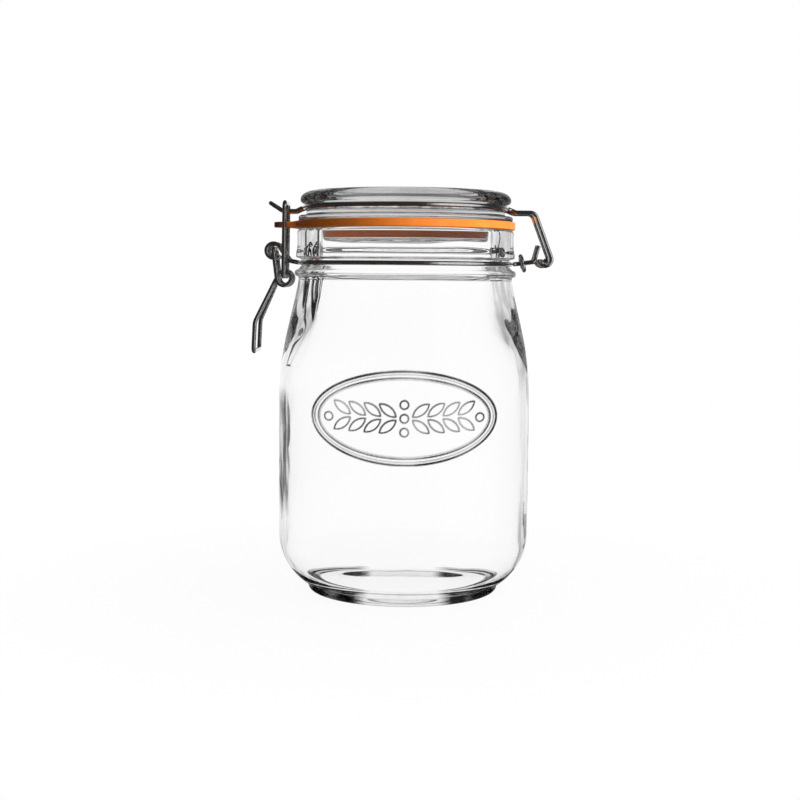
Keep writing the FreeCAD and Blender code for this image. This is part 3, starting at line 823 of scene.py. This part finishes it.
STEEL_TONES = ((0.3, (0.5, 0.49, 0.48)), (0.7, (0.7, 0.69, 0.68)))
SMOOTHEST, ROUGHEST = 0.08, 0.26


def steel_material():
    """Drawn wire, a little uneven in tone and gloss."""
    material, n, surface = new_material("drawn_steel")
    grain = n.noise(scale=900.0, detail=3.0)
    blotch = n.noise(scale=70.0, detail=2.0)
    tone = n.math("ADD", n.math("MULTIPLY", grain, 0.5), n.math("MULTIPLY", blotch, 0.5))
    shader = n.made(
        "ShaderNodeBsdfPrincipled",
        Base_Color=n.ramp(tone, STEEL_TONES),
        Metallic=1.0,
        Roughness=n.made("ShaderNodeMapRange", Value=tone, To_Min=SMOOTHEST, To_Max=ROUGHEST),
        Normal=n.bump(grain, strength=0.12, distance=0.0001),
    )
    n.link(shader, surface)
    return material


ORANGES = ((0.25, (0.84, 0.2, 0.02)), (0.75, (0.93, 0.26, 0.035)))
TAB_SHADE_PLACES = ((0.49, 0.0), (0.56, 0.9))  # decimetres towards the clasp, and how much painted shade the tab takes
SEAL_INSIDE = ((0.378, 0.0), (0.39, 1.0))  # decimetres from the axis, and how orange the seal is; nearer the axis it takes painted shade
# Painted shade colours: the rubber's inner edge under the lid, and the end of the tab
SHADED_INNER_RUBBER, PAINTED_TAB_SHADE = (0.26, 0.065, 0.016), (0.2, 0.045, 0.06)
LOST_LIGHT = (0.3, 0.3, 0.3)
LOST_EARLY = 1.5  # the rubber is grey to light that has fewer turns left than this


def rubber_material():
    """Orange rubber, with painted shade at its inner edge and at the end of the tab."""
    material, n, surface = new_material("orange_rubber")
    grain = n.noise(scale=260.0, detail=6.0)
    place = n.place()
    tab_shaded = n.ramp(n.math("MULTIPLY", n.axes(place)["X"], -DECIMETRES), TAB_SHADE_PLACES)
    flat = n.vector_math("MULTIPLY", place, (1.0, 1.0, 0.0)).outputs[0]
    outer = n.ramp(n.math("MULTIPLY", n.length(flat), DECIMETRES), SEAL_INSIDE)
    outer_colour = n.mix_colour(tab_shaded, n.ramp(grain, ORANGES), PAINTED_TAB_SHADE)
    colour = n.mix_colour(outer, SHADED_INNER_RUBBER, outer_colour)
    turns = n.add("ShaderNodeLightPath").outputs["Ray Depth"]
    lost = n.math("GREATER_THAN", turns, MOST_TURNS - LOST_EARLY)
    shader = n.made(
        "ShaderNodeBsdfPrincipled",
        Base_Color=n.mix_colour(lost, colour, LOST_LIGHT),
        Roughness=0.45,
        Specular_IOR_Level=0.3,
        Normal=n.bump(grain, strength=0.2, distance=0.0002),
    )
    n.link(shader, surface)
    return material


# ---------------------------------------------------------------- the object


def dress(piece, material):
    """Gives a piece its one material."""
    piece.data.materials.clear()
    piece.data.materials.append(material)


glass = glass_material()
steel = steel_material()
rubber = rubber_material()

jar = turned("jar_glass", jar_rows())
mark(jar)
dress(jar, glass)
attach(jar, "jar_body")
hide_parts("jar")

lid = turned("lid_glass", lid_rows())
mark(lid)
dress(lid, glass)
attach(lid, "lid_body")
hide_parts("lid")

seal = make_seal()
dress(seal, rubber)
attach(seal, "lid_body")
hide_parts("seal")

for name in ("neck_wire_near", "neck_wire_far", "hinge_tie", "lid_wire", "lever", "latch"):
    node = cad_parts[name]
    dress(node, steel)


# ---------------------------------------------------------------- surroundings, in metres

FLOOR_HALF = 4.0
FLOOR_DROP = 0.0001  # keeps the floor clear of the foot
FLOOR_COLOUR = (0.9, 0.9, 0.9)
PLACE_PER_METRE = 2.5
FLOOR_PLAIN = ((0.12, 0.93), (0.5, 1.0))  # by distance, how far the floor is plain white

THROUGH_GLASS = ((0.0, 1.0), (0.32, 1.0), (0.5, 0.72), (0.7, 0.45), (1.0, 0.38))  # by the rise
FILL = ((0.2, 0.015), (1.0, 1.2))  # from the clasp's side to the hinge's side
ROOM = (0.035, 0.035, 0.037)
WINDOW = (0.883, -0.469, 0.0)
WINDOW_EDGE, WINDOW_TOP = ((0.82, 0.0), (0.9, 1.0)), 0.7
WALL_EDGE, WALL_TOP = ((0.8, 0.0), (0.9, 1.0)), 0.4

LAMP_PLACE, LAMP_AIM = (0.97, -0.56, 0.33), (0, 0, 0.1)
LAMP_SIZE, LAMP_POWER = 0.45, 13.5

EYE, AIM = (-0.0018, -0.6214, 0.1389), (-0.0018, 0.0, 0.0834)
ROLL = math.radians(0.5)
LENS, SENSOR = 63.5, 36.0  # millimetres


def make_floor():
    """White floor. Near the jar it takes a soft shadow, and further off it is plain white."""
    half = FLOOR_HALF
    corners = [(-half, -half, 0), (half, -half, 0), (half, half, 0), (-half, half, 0)]
    floor = new_object("floor", corners, [(0, 1, 2, 3)])
    floor.location.z = -FLOOR_DROP
    floor.visible_glossy = False
    floor.visible_diffuse = False
    material, n, surface = new_material("white_floor")
    path = n.add("ShaderNodeLightPath").outputs
    matte = n.made("ShaderNodeBsdfDiffuse", Color=FLOOR_COLOUR)
    shine = n.made("ShaderNodeEmission", Strength=1.0)
    seen = n.math("MAXIMUM", path["Is Camera Ray"], path["Is Transmission Ray"])
    plain = n.ramp(n.math("MULTIPLY", n.length(n.place()), PLACE_PER_METRE), FLOOR_PLAIN)
    n.link(n.mix_shader(n.math("MULTIPLY", seen, plain), matte, shine), surface)
    dress(floor, material)


def mirrored_room(n, place, axes):
    """What metal mirrors: a dark room with a window to the front and a bright wall behind."""
    up = axes["Z"]
    level = n.math("SUBTRACT", 1.0, n.math("MULTIPLY", up, up))
    flat = n.math("SQRT", n.math("MAXIMUM", level, 0.0001))
    steep = n.math("ABSOLUTE", up)
    towards = n.vector_math("DOT_PRODUCT", place, WINDOW).outputs["Value"]
    window = n.ramp(n.math("DIVIDE", towards, flat), WINDOW_EDGE)
    window = n.math("MULTIPLY", window, n.math("LESS_THAN", steep, WINDOW_TOP))
    wall = n.ramp(n.math("DIVIDE", axes["Y"], flat), WALL_EDGE)
    wall = n.math("MULTIPLY", wall, n.math("LESS_THAN", steep, WALL_TOP))
    return n.mix_colour(n.math("MAXIMUM", window, wall), ROOM, WHITE)


def make_world():
    """White to the eye, darker upwards through glass, a dark room to metal, and a side fill."""
    world = bpy.data.worlds.new("studio")
    bpy.context.scene.world = world
    world.use_nodes = True
    n = Nodes(world.node_tree)
    out = n.add("ShaderNodeOutputWorld")
    path = n.add("ShaderNodeLightPath").outputs
    place = n.place("Generated")
    axes = n.axes(place)
    fill = n.ramp(n.math("ADD", n.math("MULTIPLY", axes["X"], 0.5), 0.5), FILL)
    colour = n.mix_colour(path["Is Glossy Ray"], fill, mirrored_room(n, place, axes))
    colour = n.mix_colour(path["Is Transmission Ray"], colour, n.ramp(axes["Z"], THROUGH_GLASS))
    colour = n.mix_colour(path["Is Camera Ray"], colour, WHITE)
    n.link(n.made("ShaderNodeBackground", Color=colour), out.inputs["Surface"])


def make_key_lamp():
    data = bpy.data.lights.new("key", "AREA")
    data.shape = "RECTANGLE"
    data.size = data.size_y = LAMP_SIZE
    data.energy = LAMP_POWER
    lamp = bpy.data.objects.new("key", data)
    lamp.location = LAMP_PLACE
    lamp.rotation_mode = "QUATERNION"
    lamp.rotation_quaternion = (Vector(LAMP_AIM) - Vector(LAMP_PLACE)).to_track_quat("-Z", "Y")
    lamp.visible_glossy = False
    lamp.visible_transmission = False
    bpy.context.scene.collection.objects.link(lamp)


def make_camera():
    data = bpy.data.cameras.new("camera")
    data.lens = LENS
    data.sensor_width = SENSOR
    camera = bpy.data.objects.new("camera", data)
    bpy.context.scene.collection.objects.link(camera)
    back = (Vector(EYE) - Vector(AIM)).normalized()
    level = Vector((1, 0, 0))
    right = level * math.cos(ROLL) + back.cross(level) * math.sin(ROLL)
    matrix = Matrix((right, back.cross(right), back)).transposed().to_4x4()
    matrix.translation = Vector(EYE)
    camera.matrix_world = matrix
    bpy.context.scene.camera = camera


make_floor()
make_world()
make_key_lamp()
make_camera()

# Light passes many walls of glass on its way
scene = bpy.context.scene
scene.view_settings.view_transform = "Standard"
scene.cycles.max_bounces = 24
scene.cycles.transmission_bounces = 24
scene.cycles.glossy_bounces = 16
scene.cycles.transparent_max_bounces = 16
